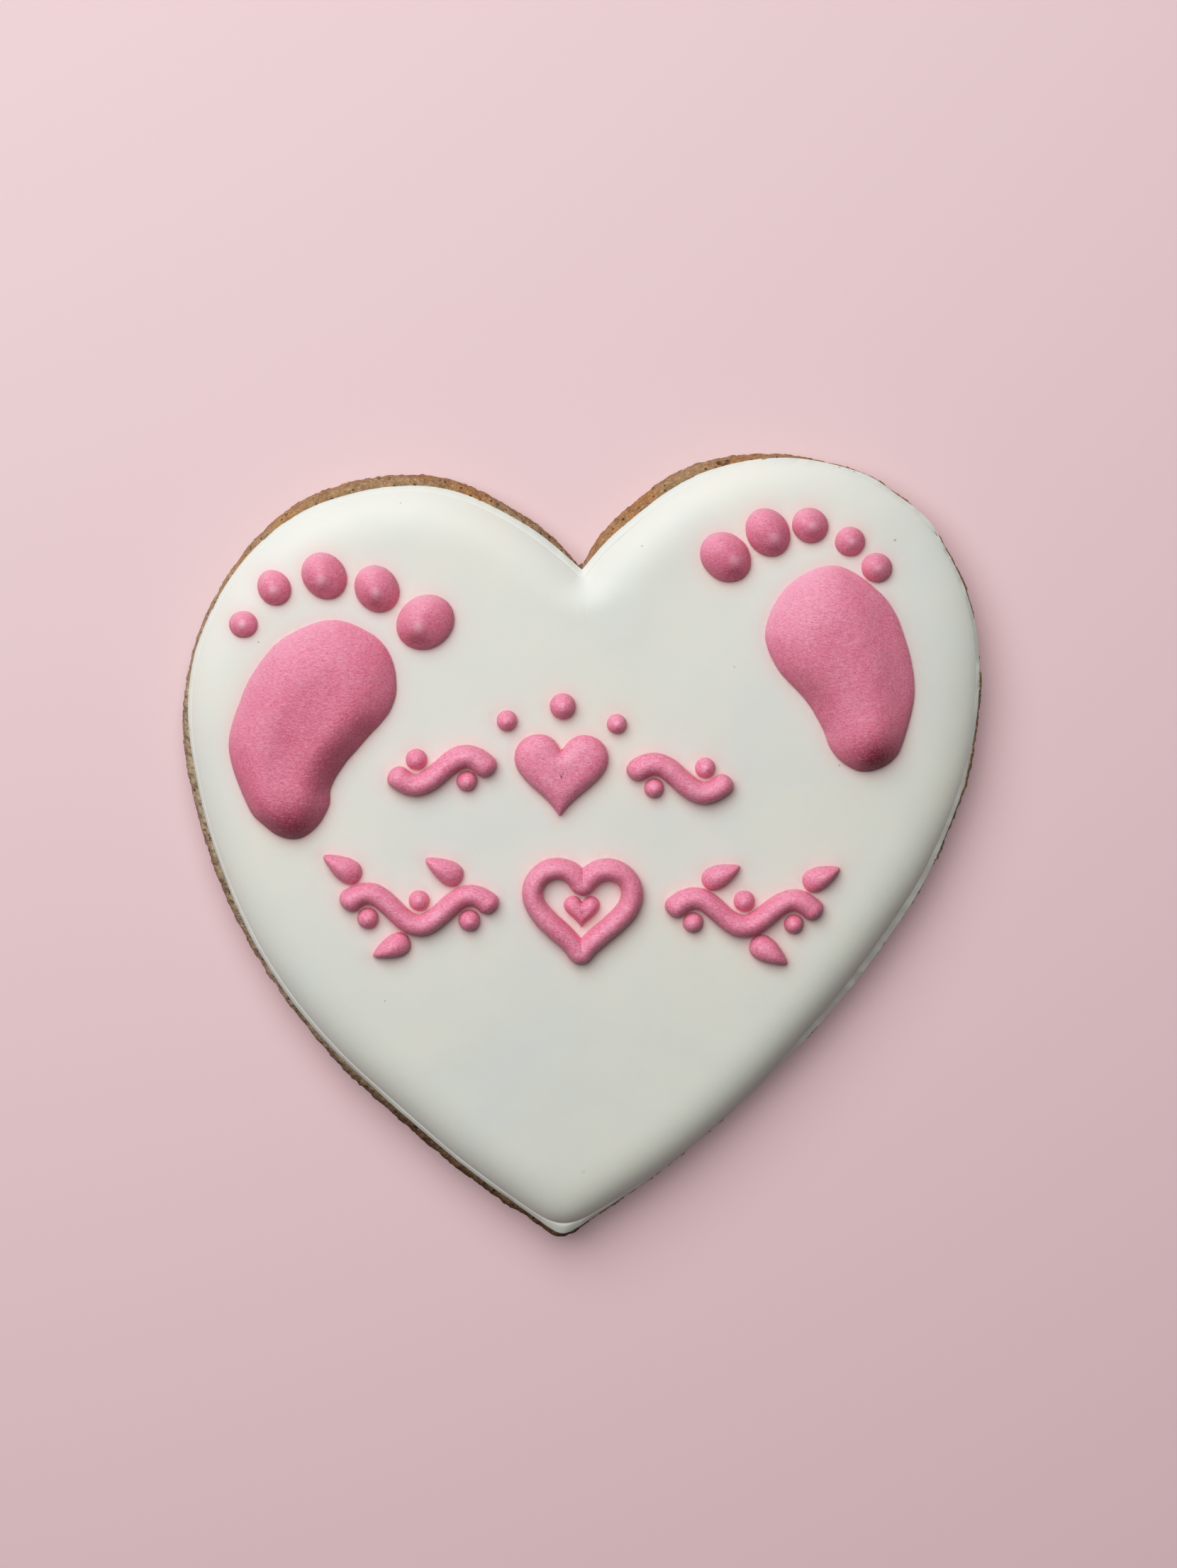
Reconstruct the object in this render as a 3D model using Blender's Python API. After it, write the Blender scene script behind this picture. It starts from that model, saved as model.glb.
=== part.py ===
"""Heart-shaped gingerbread biscuit with poured icing, piped footprints and a piped garland.

The biscuit lies flat with its icing up and its point towards -Y. The origin is under the
middle of its outline, on the surface that it lies on. Lengths are in millimetres, and
become metres where a mesh or a curve is made.
"""
import math

import bmesh
import bpy
import numpy as np
from mathutils import Vector
from mathutils.bvhtree import BVHTree

MM = 0.001
GAP = 0.3                      # clearance between pieces that rest on each other
WELD = 0.001                   # points closer than this are one point
SHARP_EDGE = 50                # degrees between faces that no longer look smooth

# The icing's edge, from the notch down each side to the point: x, y and the width of the
# dough that stays bare outside it.
HEART_LEFT = [
    (-0.7, 39.2, 0.15), (-8.2, 44.9, 0.8), (-18.5, 49.5, 1.3), (-28.5, 49.8, 1.25),
    (-39.2, 46.2, 1.3), (-48.0, 38.2, 0.6), (-53.6, 26.2, 0.6), (-53.9, 12.0, 1.1),
    (-48.3, -6.7, 1.2), (-37.3, -24.9, 1.0), (-19.5, -41.4, 1.4), (-0.8, -54.7, 1.5),
]
HEART_RIGHT = [
    (-0.7, 39.2, 0.15), (5.2, 45.8, 1.2), (14.8, 52.8, 0.75), (26.5, 55.2, 0.35),
    (37.0, 53.4, 0.3), (47.5, 45.2, 0.3), (53.9, 31.4, 0.4), (53.7, 12.5, 1.0),
    (46.2, -7.6, 0.4), (33.7, -24.9, 0.4), (17.6, -41.3, 0.4), (-0.8, -54.7, 1.5),
]
HEART_MIDDLE = (0.0, 12.3)
HEART_HALF_STEPS = 60          # points along each half of the heart
TIP_BLUNT = 0.35               # how far the point of the heart is drawn back to its neighbours
LEAST_FACING = 0.5             # limits an inset where an outline runs close to its ray

# Dough: how far in from the widest outline its wall lies at each share of its height.
DOUGH_HEIGHT = 6.5
DOUGH_WALL = [(0.0, 0.8), (0.08, 0.15), (0.35, 0.0), (0.65, 0.1), (0.9, 0.35), (1.0, 1.0)]
CRAG_WAVES = (5, 9, 14, 23)    # slow swellings round the wall
CRAG_SWELL = 0.03              # depth of each swelling
CRAG_GRAIN = 0.1               # depth of the fine steps from point to point
CRAG_SEED = 7

# Icing: depth in from its edge, height above its underside, rounding passes. A thin lip
# lies outside a crease, and the dome rises from the crease over a broad soft shoulder.
ICING_SHAPE = [
    (0.2, 0.0, 0), (0.0, 0.25, 0), (0.25, 0.45, 0), (0.55, 0.55, 0), (1.1, 1.1, 1),
    (2.0, 1.7, 4), (3.3, 2.25, 8), (5.0, 2.6, 12), (7.6, 2.75, 15),
]

# Footprints: outline of each sole, and its pillow from the underside up.
SOLE_LEFT = [
    (-35.2, 31.7), (-41.2, 29.2), (-44.5, 25.6), (-46.9, 21.0), (-48.7, 13.8), (-45.9, 5.2),
    (-39.6, 1.2), (-36.3, 3.2), (-34.8, 6.0), (-34.5, 8.7), (-32.8, 11.8), (-29.9, 15.4),
    (-26.8, 19.2), (-25.9, 22.9), (-26.9, 27.2), (-29.9, 30.2),
]
SOLE_LEFT_MIDDLE = (-38.6, 15.9)
SOLE_RIGHT = [
    (33.6, 40.8), (27.5, 37.9), (24.6, 31.9), (26.2, 26.8), (30.6, 22.0), (32.9, 18.4),
    (34.2, 15.5), (36.1, 13.5), (38.9, 12.4), (42.2, 13.5), (44.2, 16.4), (45.5, 24.3),
    (43.3, 32.7), (39.7, 37.7),
]
SOLE_RIGHT_MIDDLE = (36.6, 25.9)
SOLE_SHAPE = [
    (3.2, 0.0, 3), (0.2, 0.0, 0), (0.0, 0.4, 0), (0.25, 1.05, 0), (1.0, 1.75, 1),
    (2.2, 2.35, 2), (3.6, 2.75, 3), (5.2, 2.95, 5),
]
SOLE_STEPS = 40

# Toes: x, y, length, width, turn in degrees, height, and where the peak lies off the middle.
TOES_LEFT = [
    (-22.1, 31.7, 8.2, 7.2, 35, 3.2, (-0.8, -1.5)),
    (-28.8, 36.1, 6.7, 5.8, -55, 2.9, (-0.4, -1.0)),
    (-36.0, 37.7, 6.7, 5.8, -50, 2.8, (-0.2, -1.1)),
    (-42.8, 35.9, 5.0, 4.4, -55, 2.2, (0.1, -0.7)),
    (-46.9, 30.8, 3.9, 3.6, 0, 1.8, (0.1, 0.0)),
]
TOES_RIGHT = [
    (18.8, 41.6, 7.7, 6.4, -40, 3.1, (1.3, -0.9)),
    (24.6, 45.1, 7.0, 5.9, -55, 2.9, (0.9, -1.0)),
    (30.5, 46.2, 5.1, 4.7, -30, 2.5, (0.5, -0.1)),
    (36.0, 44.1, 4.3, 4.1, 0, 2.0, (0.4, 0.2)),
    (39.9, 41.0, 4.3, 3.9, -20, 2.1, (0.5, 0.2)),
]
BIG_TOE = 5.5                  # toes longer than this get the finer ball

# Garland: piped lines, hearts, leaves, beads and dots in two rows between the footprints.
PIPE_WIDTH = 3.0
PIPE_HEIGHT = 2.2
PIPE_FOOT = 0.35               # height at which a piped shape is widest
PIPE_STEP = 1.45               # spacing of the points along a piped line
PIPE_END = [(0.0, 0.42), (0.45, 0.88)]   # way in from an end, share of the width
PIPE_BLOB = 0.16               # how much wider a line is where it starts and stops
UPPER_ROW = (-3.0, 11.1)       # middle of the upper row
LOWER_ROW = (0.4, -7.9)        # middle of the lower row
WAVE = {"near": 9.4, "far": 23.4, "turns": 1.0, "height": (2.05, 1.95), "sway": (0.3, -0.2)}
VINE = {"near": 12.0, "far": 33.0, "turns": 1.5, "height": (2.1, 2.0), "sway": (-0.3, 0.4)}
PUFFY_HEART_WIDTH = 13.0
INNER_HEART_WIDTH = 5.0
PUFFY_HEART_STEPS = 28
PUFFY_HEART_SHAPE = [
    (1.2, 0.0, 3), (0.15, 0.0, 2), (0.0, 0.4, 2), (0.15, 1.1, 2), (0.7, 1.75, 3), (1.5, 2.1, 4),
]
LINE_HEART_WIDTH = 14.0
LINE_HEART_STEPS = 24
HEART_CURVE = (13, -5, -2, -1)  # shares of the cosines that draw a heart
HEART_CURVE_RISE = 0.12        # brings its middle to the origin
LEAVES = [                     # length, width, turn; three on each vine, from the middle
    (5.8, 3.1, 30), (5.5, 3.0, 26), (5.9, 3.1, 31), (5.6, 3.0, 27), (6.0, 3.2, 32), (5.5, 3.0, 28),
]
LEAF_HEIGHT = 1.9
LEAF_TAPER = 0.5
LEAF_OFF = (1.2, 0.5)          # how far past a crest, and over its line, a leaf starts
BEADS = [2.8, 2.9, 2.7, 2.8, 3.0, 2.8, 2.9, 2.8, 2.9, 2.7]   # widths: waves, then vines
BEAD_OFF = 0.55                # space between a bead and the crest it lies in
DOTS = [(0.0, 9.5, 3.5), (-7.6, 7.3, 2.8), (7.5, 7.2, 2.7)]   # out, up, width over the heart
DOT_HEIGHT = 0.62              # of its width

CREAM = (0.74, 0.73, 0.66)
PINK = (0.64, 0.17, 0.28)
GINGER = (0.30, 0.15, 0.06)


# ---- outlines ------------------------------------------------------------------------

def smooth_run(points, closed=False, fineness=24):
    """Smooth line through points of any number of coordinates."""
    p = np.array(points, float)
    if closed:
        before, after = np.roll(p, 1, 0), np.roll(p, -1, 0)
        slope = (after - before) / 2
        ends = after
    else:
        slope = np.gradient(p, axis=0)
        ends = p[1:]
        slope[0] = (p[1] - p[0]) * 1.5 - slope[1] * 0.5
        slope[-1] = (p[-1] - p[-2]) * 1.5 - slope[-2] * 0.5
    line = []
    for i, end in enumerate(ends):
        next_slope = slope[(i + 1) % len(p)]
        for t in np.linspace(0, 1, fineness, endpoint=False):
            line.append(
                (2 * t**3 - 3 * t**2 + 1) * p[i] + (t**3 - 2 * t**2 + t) * slope[i]
                + (3 * t**2 - 2 * t**3) * end + (t**3 - t**2) * next_slope)
    line.append(p[0] if closed else p[-1])
    return np.array(line)


def even_steps(line, count):
    """The same line with count equal steps, without its last point."""
    length = np.zeros(len(line))
    length[1:] = np.cumsum(np.linalg.norm(np.diff(line[:, :2], axis=0), axis=1))
    places = np.linspace(0, length[-1], count, endpoint=False)
    return np.column_stack([np.interp(places, length, c) for c in line.T])


def outward(outline):
    """Unit normals of an anticlockwise closed outline."""
    along = np.roll(outline, -1, 0) - np.roll(outline, 1, 0)
    normals = np.column_stack([along[:, 1], -along[:, 0]])
    return normals / np.linalg.norm(normals, axis=1)[:, None]


def inset(outline, middle, depth, rounding=0):
    """The outline drawn in towards its middle by depth, then rounded by averaging."""
    rays = outline - np.array(middle)
    rays = rays / np.linalg.norm(rays, axis=1)[:, None]
    facing = np.clip((rays * outward(outline)).sum(axis=1), LEAST_FACING, 1.0)
    moved = outline - rays * (depth / facing)[:, None]
    for _ in range(rounding):
        moved = (np.roll(moved, 1, 0) + 2 * moved + np.roll(moved, -1, 0)) / 4
    return moved


def heart_edges():
    """Icing edge and dough edge of the heart, point for point."""
    left = even_steps(smooth_run(HEART_LEFT), HEART_HALF_STEPS)
    right = even_steps(smooth_run(HEART_RIGHT[::-1]), HEART_HALF_STEPS)
    both = np.vstack([left, right])
    tip = HEART_HALF_STEPS
    both[tip] = TIP_BLUNT * (both[tip - 1] + both[tip + 1]) / 2 + (1 - TIP_BLUNT) * both[tip]
    icing_edge = both[:, :2]
    dough_edge = icing_edge + outward(icing_edge) * both[:, 2:3]
    return icing_edge, dough_edge


def small_heart(width, steps):
    """Outline of a small heart about the origin, anticlockwise from its notch."""
    turn = np.linspace(0, 2 * math.pi, 240)
    x = -np.sin(turn) ** 3
    y = sum(share * np.cos((i + 1) * turn) for i, share in enumerate(HEART_CURVE)) / 16
    line = np.column_stack([x, y + HEART_CURVE_RISE]) * width / 2
    return even_steps(line, steps)


# ---- objects -------------------------------------------------------------------------

def clear_scene():
    for item in list(bpy.data.objects):
        bpy.data.objects.remove(item, do_unlink=True)


def make_material(name, colour, roughness):
    material = bpy.data.materials.new(name)
    material.use_nodes = True
    shader = material.node_tree.nodes["Principled BSDF"]
    shader.inputs["Base Color"].default_value = (*colour, 1.0)
    shader.inputs["Roughness"].default_value = roughness
    shader.inputs["Metallic"].default_value = 0.0
    material.diffuse_color = (*colour, 1.0)
    return material


def add_object(name, bm, collection, material):
    """A named object from a mesh in millimetres."""
    bmesh.ops.scale(bm, vec=Vector((MM, MM, MM)), verts=bm.verts)
    bmesh.ops.recalc_face_normals(bm, faces=bm.faces)
    mesh = bpy.data.meshes.new(name)
    bm.to_mesh(mesh)
    bm.free()
    mesh.materials.append(material)
    mesh.shade_smooth()
    mesh.set_sharp_from_angle(angle=math.radians(SHARP_EDGE))
    item = bpy.data.objects.new(name, mesh)
    collection.objects.link(item)
    return item


def loft(rings, domed_ends):
    """A closed skin over rings, from the lowest to the highest."""
    bm = bmesh.new()
    rows = [[bm.verts.new(point) for point in ring] for ring in rings]
    count = len(rows[0])
    for low, high in zip(rows, rows[1:]):
        for i in range(count):
            j = (i + 1) % count
            bm.faces.new((low[i], low[j], high[j], high[i]))
    caps = [bm.faces.new(rows[0][::-1]), bm.faces.new(rows[-1])]
    if domed_ends:
        bmesh.ops.poke(bm, faces=caps)
    return bm


def pillow_rings(outline, middle, shape):
    rings = []
    for depth, height, rounding in shape:
        flat = inset(outline, middle, depth, rounding)
        rings.append(np.column_stack([flat, np.full(len(flat), height)]))
    return rings


def lay_on(bm, icing_top):
    """Lets a mesh follow the icing under it, a gap above."""
    for vert in bm.verts:
        vert.co.z += icing_top(vert.co.x, vert.co.y) + GAP


def surface_reader(item):
    """Height of an object's upper surface over a point, in millimetres."""
    tree = BVHTree.FromPolygons(
        [vert.co / MM for vert in item.data.vertices],
        [face.vertices for face in item.data.polygons])

    def height(x, y):
        hit = tree.ray_cast(Vector((x, y, 50.0)), Vector((0.0, 0.0, -1.0)))
        return hit[0].z

    return height


# ---- biscuit -------------------------------------------------------------------------

def crags(count, rows):
    """Seeded unevenness of the baked wall, as a depth for each row and point."""
    draw = np.random.default_rng(CRAG_SEED)
    along = np.linspace(0, 2 * math.pi, count, endpoint=False)
    swell = sum(1 + np.sin(waves * along + draw.uniform(0, 2 * math.pi)) for waves in CRAG_WAVES)
    return CRAG_SWELL * swell / 2 + CRAG_GRAIN * draw.random((rows, count))


def make_cookie(dough_edge, collection, material):
    uneven = crags(len(dough_edge), len(DOUGH_WALL))
    rings = []
    for row, (share, depth) in enumerate(DOUGH_WALL):
        flat = inset(dough_edge, HEART_MIDDLE, depth)
        flat = flat - outward(flat) * uneven[row][:, None]
        rings.append(np.column_stack([flat, np.full(len(flat), share * DOUGH_HEIGHT)]))
    return add_object("cookie", loft(rings, False), collection, material)


def make_icing(icing_edge, collection, material):
    rings = pillow_rings(icing_edge, HEART_MIDDLE, ICING_SHAPE)
    for ring in rings:
        ring[:, 2] += DOUGH_HEIGHT + GAP
    return add_object("icing", loft(rings, False), collection, material)


# ---- footprints ----------------------------------------------------------------------

def make_pillow(name, outline, middle, shape, icing_top, collection, material):
    bm = loft(pillow_rings(outline, middle, shape), True)
    lay_on(bm, icing_top)
    return add_object(name, bm, collection, material)


def make_drop(name, place, size, turn, peak, taper, segments, icing_top, collection, material):
    """A piped drop: a ball with a flat foot, an oval or tapered plan and a leaning peak."""
    length, width, height = size
    bm = bmesh.new()
    bmesh.ops.create_uvsphere(bm, u_segments=segments[0], v_segments=segments[1], radius=1.0)
    cos, sin = math.cos(math.radians(turn)), math.sin(math.radians(turn))
    for vert in bm.verts:
        u, v, w = vert.co
        along = u * length / 2
        across = v * width / 2 * (1 - taper * u)
        rise = max(w, 0.0)
        lean = rise * rise
        vert.co.x = place[0] + along * cos - across * sin + peak[0] * lean
        vert.co.y = place[1] + along * sin + across * cos + peak[1] * lean
        vert.co.z = 0.0 if w < -WELD else PIPE_FOOT + (height - PIPE_FOOT) * rise
    lay_on(bm, icing_top)
    return add_object(name, bm, collection, material)


def make_toes(side, toes, icing_top, collection, material):
    for number, (x, y, length, width, turn, height, peak) in enumerate(toes, 1):
        segments = (14, 8) if length > BIG_TOE else (12, 6)
        make_drop(f"toe_{side}_{number}", (x, y), (length, width, height), turn, peak, 0.0,
                  segments, icing_top, collection, material)


# ---- garland -------------------------------------------------------------------------

def wave_place(shape, row, side, share):
    """Where a waving line is at a share of its length on one side of a row's middle."""
    hand = 0 if side < 0 else 1
    out = shape["near"] + (shape["far"] - shape["near"]) * share
    up = shape["height"][hand] * np.sin(2 * math.pi * shape["turns"] * share)
    up += shape["sway"][hand] * np.sin(math.pi * share)
    return row[0] + side * out, row[1] + up


def piped_wave(shape, row, side):
    """Points and widths of a waving line."""
    line = np.column_stack(wave_place(shape, row, side, np.linspace(0, 1, 200)))
    length = np.append(0, np.cumsum(np.linalg.norm(np.diff(line, axis=0), axis=1)))
    whole = length[-1]
    ends = np.array([way for way, _ in PIPE_END])
    first = PIPE_STEP + ends[-1]
    between = np.linspace(first, whole - first, round((whole - 2 * first) / PIPE_STEP) + 1)
    places = np.concatenate([ends, between, whole - ends[::-1]])
    widths = 1 + PIPE_BLOB * np.abs(2 * places / whole - 1) ** 6
    for i, (_, part_width) in enumerate(PIPE_END):
        widths[i] *= part_width
        widths[-1 - i] *= part_width
    points = np.column_stack([np.interp(places, length, c) for c in line.T])
    return points, widths


def make_line(name, points, widths, closed, icing_top, collection, material):
    """A piped line: a tube with round ends, flattened where it lies on the icing."""
    curve = bpy.data.curves.new(name, "CURVE")
    curve.dimensions = "3D"
    curve.twist_mode = "Z_UP"
    curve.bevel_depth = PIPE_WIDTH / 2
    curve.bevel_resolution = 2
    curve.use_fill_caps = not closed
    spline = curve.splines.new("POLY")
    spline.points.add(len(points) - 1)
    spline.use_cyclic_u = closed
    for point, (x, y), width in zip(spline.points, points, widths):
        point.co = (x, y, 0.0, 1.0)
        point.radius = width
    guide = bpy.data.objects.new(name, curve)
    collection.objects.link(guide)
    evaluated = guide.evaluated_get(bpy.context.evaluated_depsgraph_get())
    tube = bpy.data.meshes.new_from_object(evaluated)
    bpy.data.objects.remove(guide, do_unlink=True)
    bm = bmesh.new()
    bm.from_mesh(tube)
    bpy.data.meshes.remove(tube)
    bmesh.ops.remove_doubles(bm, verts=bm.verts, dist=WELD)
    stretch = (PIPE_HEIGHT - PIPE_FOOT) / (PIPE_WIDTH / 2)
    for vert in bm.verts:
        below = vert.co.z < -WELD
        vert.co.z = 0.0 if below else PIPE_FOOT + stretch * vert.co.z
    lay_on(bm, icing_top)
    return add_object(name, bm, collection, material)


def crests(shape, row):
    """Side, way up and place of each crest and dip of the two lines of a row."""
    count = round(2 * shape["turns"])
    for side in (-1, 1):
        for i in range(count):
            yield side, 1 - 2 * (i % 2), wave_place(shape, row, side, (i + 0.5) / count)


def make_dot(name, place, width, icing_top, collection, material):
    make_drop(name, place, (width, width, width * DOT_HEIGHT), 0, (0, 0), 0.0, (12, 6),
              icing_top, collection, material)


def make_beads(*finish):
    """A bead in the hollow of each crest and dip."""
    places = [*crests(WAVE, UPPER_ROW), *crests(VINE, LOWER_ROW)]
    for number, (width, (_, way, (x, y))) in enumerate(zip(BEADS, places), 1):
        off = way * (PIPE_WIDTH / 2 + BEAD_OFF + width / 2)
        make_dot(f"bead_{number}", (x, y - off), width, *finish)


def make_leaves(*finish):
    """A leaf that grows out over each crest and under each dip of the two vines."""
    past, over = LEAF_OFF
    places = crests(VINE, LOWER_ROW)
    for number, ((length, width, degrees), (side, way, (x, y))) in enumerate(zip(LEAVES, places), 1):
        turn = math.radians(degrees)
        place = (x + side * (past + length / 2 * math.cos(turn)),
                 y + way * (PIPE_WIDTH / 2 + over + length / 2 * math.sin(turn)))
        pointing = math.degrees(math.atan2(way * math.sin(turn), side * math.cos(turn)))
        make_drop(f"leaf_{number}", place, (length, width, LEAF_HEIGHT), pointing, (0, 0),
                  LEAF_TAPER, (12, 6), *finish)


def make_garland(icing_top, collection, material):
    finish = (icing_top, collection, material)
    for side, word in ((-1, "left"), (1, "right")):
        make_line(f"wave_{word}", *piped_wave(WAVE, UPPER_ROW, side), False, *finish)
        make_line(f"vine_{word}", *piped_wave(VINE, LOWER_ROW, side), False, *finish)

    for name, width, row in (("heart_puffy", PUFFY_HEART_WIDTH, UPPER_ROW),
                             ("heart_inner", INNER_HEART_WIDTH, LOWER_ROW)):
        outline = small_heart(width, PUFFY_HEART_STEPS) + row
        size = width / PUFFY_HEART_WIDTH
        shape = [(depth * size, rise * max(size, 0.75), rounding)
                 for depth, rise, rounding in PUFFY_HEART_SHAPE]
        make_pillow(name, outline, row, shape, *finish)
    line_heart = small_heart(LINE_HEART_WIDTH, LINE_HEART_STEPS) + LOWER_ROW
    line_heart = inset(line_heart, LOWER_ROW, 0.0, 1)
    make_line("heart_line", line_heart, np.ones(LINE_HEART_STEPS), True, *finish)

    make_leaves(*finish)
    make_beads(*finish)
    for number, (out, up, width) in enumerate(DOTS, 1):
        make_dot(f"dot_{number}", (UPPER_ROW[0] + out, UPPER_ROW[1] + up), width, *finish)


def main():
    clear_scene()
    collection = bpy.data.collections.new("iced_gingerbread_cookie")
    bpy.context.scene.collection.children.link(collection)
    dough = make_material("dough", GINGER, 0.85)
    white = make_material("white_icing", CREAM, 0.4)
    pink = make_material("pink_icing", PINK, 0.6)

    icing_edge, dough_edge = heart_edges()
    make_cookie(dough_edge, collection, dough)
    icing = make_icing(icing_edge, collection, white)
    icing_top = surface_reader(icing)

    finish = (icing_top, collection, pink)
    left = even_steps(smooth_run(SOLE_LEFT, closed=True), SOLE_STEPS)
    right = even_steps(smooth_run(SOLE_RIGHT, closed=True), SOLE_STEPS)
    make_pillow("sole_left", left, SOLE_LEFT_MIDDLE, SOLE_SHAPE, *finish)
    make_pillow("sole_right", right, SOLE_RIGHT_MIDDLE, SOLE_SHAPE, *finish)
    make_toes("left", TOES_LEFT, *finish)
    make_toes("right", TOES_RIGHT, *finish)
    make_garland(*finish)


main()
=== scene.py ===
import math

import bpy
import numpy as np
from mathutils import Matrix, Vector
from mathutils.bvhtree import BVHTree
from mathutils.kdtree import KDTree


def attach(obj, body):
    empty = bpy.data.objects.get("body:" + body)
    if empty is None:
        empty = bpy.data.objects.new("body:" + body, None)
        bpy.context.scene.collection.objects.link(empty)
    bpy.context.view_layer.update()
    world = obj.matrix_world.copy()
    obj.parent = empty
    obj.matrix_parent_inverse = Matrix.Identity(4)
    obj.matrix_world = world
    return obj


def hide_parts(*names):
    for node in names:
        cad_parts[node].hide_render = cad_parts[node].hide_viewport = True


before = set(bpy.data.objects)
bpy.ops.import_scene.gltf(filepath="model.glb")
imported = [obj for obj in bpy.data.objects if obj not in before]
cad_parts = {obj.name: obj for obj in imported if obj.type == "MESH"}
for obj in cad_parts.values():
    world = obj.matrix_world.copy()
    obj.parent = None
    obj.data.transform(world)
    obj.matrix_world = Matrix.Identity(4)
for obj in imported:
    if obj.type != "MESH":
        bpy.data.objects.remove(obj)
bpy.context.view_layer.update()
mm = 0.001
print("packed solids:", len(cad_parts))

# Where the icing ends, from the notch down each side: x, y, how much dough stays bare outside
# it, the width of the icing's thin lip and the steepness of its side.
heartCut = {
    "left": [
        (-0.7, 39.2, 0.15, 0.9, 1.0), (-8.2, 44.9, 0.8, 0.9, 1.0), (-18.5, 49.5, 1.3, 0.7, 1.0),
        (-28.5, 49.8, 1.25, 0.6, 1.0), (-39.2, 46.2, 1.3, 0.5, 1.0), (-48.0, 38.2, 0.6, 0.45, 1.0),
        (-53.6, 26.2, 0.6, 0.4, 1.0), (-53.9, 12.0, 1.1, 0.4, 0.9), (-48.3, -6.7, 1.2, 0.45, 0.9),
        (-37.3, -24.9, 1.0, 0.65, 1.0), (-19.5, -41.4, 1.4, 0.6, 1.0), (-0.8, -55.1, 1.0, 0.55, 1.0),
    ],
    "right": [
        (-0.7, 39.2, 0.15, 0.9, 1.0), (5.2, 45.8, 1.2, 0.9, 1.0), (14.8, 52.6, 1.2, 0.7, 0.95),
        (26.5, 55.2, 0.4, 0.6, 0.7), (37.1, 53.6, 0.1, 0.5, 0.4), (42.9, 50.35, 0.3, 0.45, 0.3),
        (47.1, 47.05, 0.05, 0.4, 0.2), (49.0, 44.2, 0.3, 0.4, 0.2), (50.95, 41.0, 0.48, 0.4, 0.22),
        (52.65, 37.5, 0.45, 0.4, 0.26), (54.5, 31.4, 0.3, 0.4, 0.3), (55.1, 23.5, 0.44, 0.42, 0.36),
        (54.4, 15.2, 0.62, 0.45, 0.42), (52.2, 6.2, 0.72, 0.6, 0.55), (46.2, -7.6, 0.25, 0.95, 0.9),
        (33.7, -24.9, 0.15, 0.85, 1.05), (17.6, -41.3, 0.2, 0.4, 1.05), (-0.8, -55.1, 1.0, 0.55, 1.0),
    ],
    "middle": (0.0, 12.3),
    "pointFlow": 1.3,         # how far the icing has flowed round at the point
    "pointReach": 5.0,        # and over what distance of it
    "halfSteps": 360,         # points along each half of the icing
    "finer": 3,               # the dough has this many times as many
}


# Lines and outlines

def smoothRun(points, closed=False, fineness=24):
    # a smooth line through points
    p = np.array(points, float)
    if closed:
        ends = np.roll(p, -1, 0)
        slope = (ends - np.roll(p, 1, 0)) / 2
    else:
        slope = np.gradient(p, axis=0)
        ends = p[1:]
        slope[0] = (p[1] - p[0]) * 1.5 - slope[1] * 0.5
        slope[-1] = (p[-1] - p[-2]) * 1.5 - slope[-2] * 0.5
    line = []
    for i, end in enumerate(ends):
        nextSlope = slope[(i + 1) % len(p)]
        for t in np.linspace(0, 1, fineness, endpoint=False):
            line.append(
                (2 * t**3 - 3 * t**2 + 1) * p[i] + (t**3 - 2 * t**2 + t) * slope[i]
                + (3 * t**2 - 2 * t**3) * end + (t**3 - t**2) * nextSlope)
    line.append(p[0] if closed else p[-1])
    return np.array(line)


def wayAlong(line):
    # how far along its plan each point of a line lies
    return np.append(0, np.cumsum(np.linalg.norm(np.diff(line[:, :2], axis=0), axis=1)))


def readAlong(line, way, places):
    return np.column_stack([np.interp(places, way, c) for c in line.T])


def evenSteps(line, count):
    # the same line with count equal steps, without its last point
    way = wayAlong(line)
    return readAlong(line, way, np.linspace(0, way[-1], count, endpoint=False))


def outward(loop, closed=True):
    # unit normals of an anticlockwise outline, or to the right of an open line
    along = np.roll(loop, -1, 0) - np.roll(loop, 1, 0) if closed else np.gradient(loop, axis=0)
    normals = np.column_stack([along[:, 1], -along[:, 0]])
    return normals / np.linalg.norm(normals, axis=1)[:, None]


def soften(loop, reach):
    # rounds a closed loop, as icing that has flowed that far
    if reach <= 0:
        return loop
    step = np.linalg.norm(np.roll(loop, -1, 0) - loop, axis=1).mean()
    waves = np.fft.rfftfreq(len(loop), step)
    fade = np.exp(-2 * (math.pi * reach * waves) ** 2)
    return np.fft.irfft(np.fft.rfft(loop, axis=0) * fade[:, None], len(loop), axis=0)


def nearTo(loop, spot, reach):
    # 1 at a spot of the plan, fading to 0 round it
    return np.exp(-((loop[:, :2] - spot) ** 2).sum(axis=1) / reach ** 2)


def turnTo(degrees):
    return math.cos(math.radians(degrees)), math.sin(math.radians(degrees))


def inOval(right, up, along, across, turn):
    # a place in an oval's own directions and reaches
    cos, sin = turnTo(turn)
    return (right * cos + up * sin) / along, (up * cos - right * sin) / across


def atHeight(flat, height=0.0):
    # points of the plan as points in space
    return np.column_stack([flat, np.zeros(len(flat)) + height])


def inset(loop, middle, depth, reach=0.0):
    # the outline drawn in towards its middle by depth, then rounded
    rays = loop - np.array(middle)
    rays = rays / np.linalg.norm(rays, axis=1)[:, None]
    facing = np.clip((rays * outward(loop)).sum(axis=1), 0.5, 1.0)
    return soften(loop - rays * (depth / facing)[:, None], reach)


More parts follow.
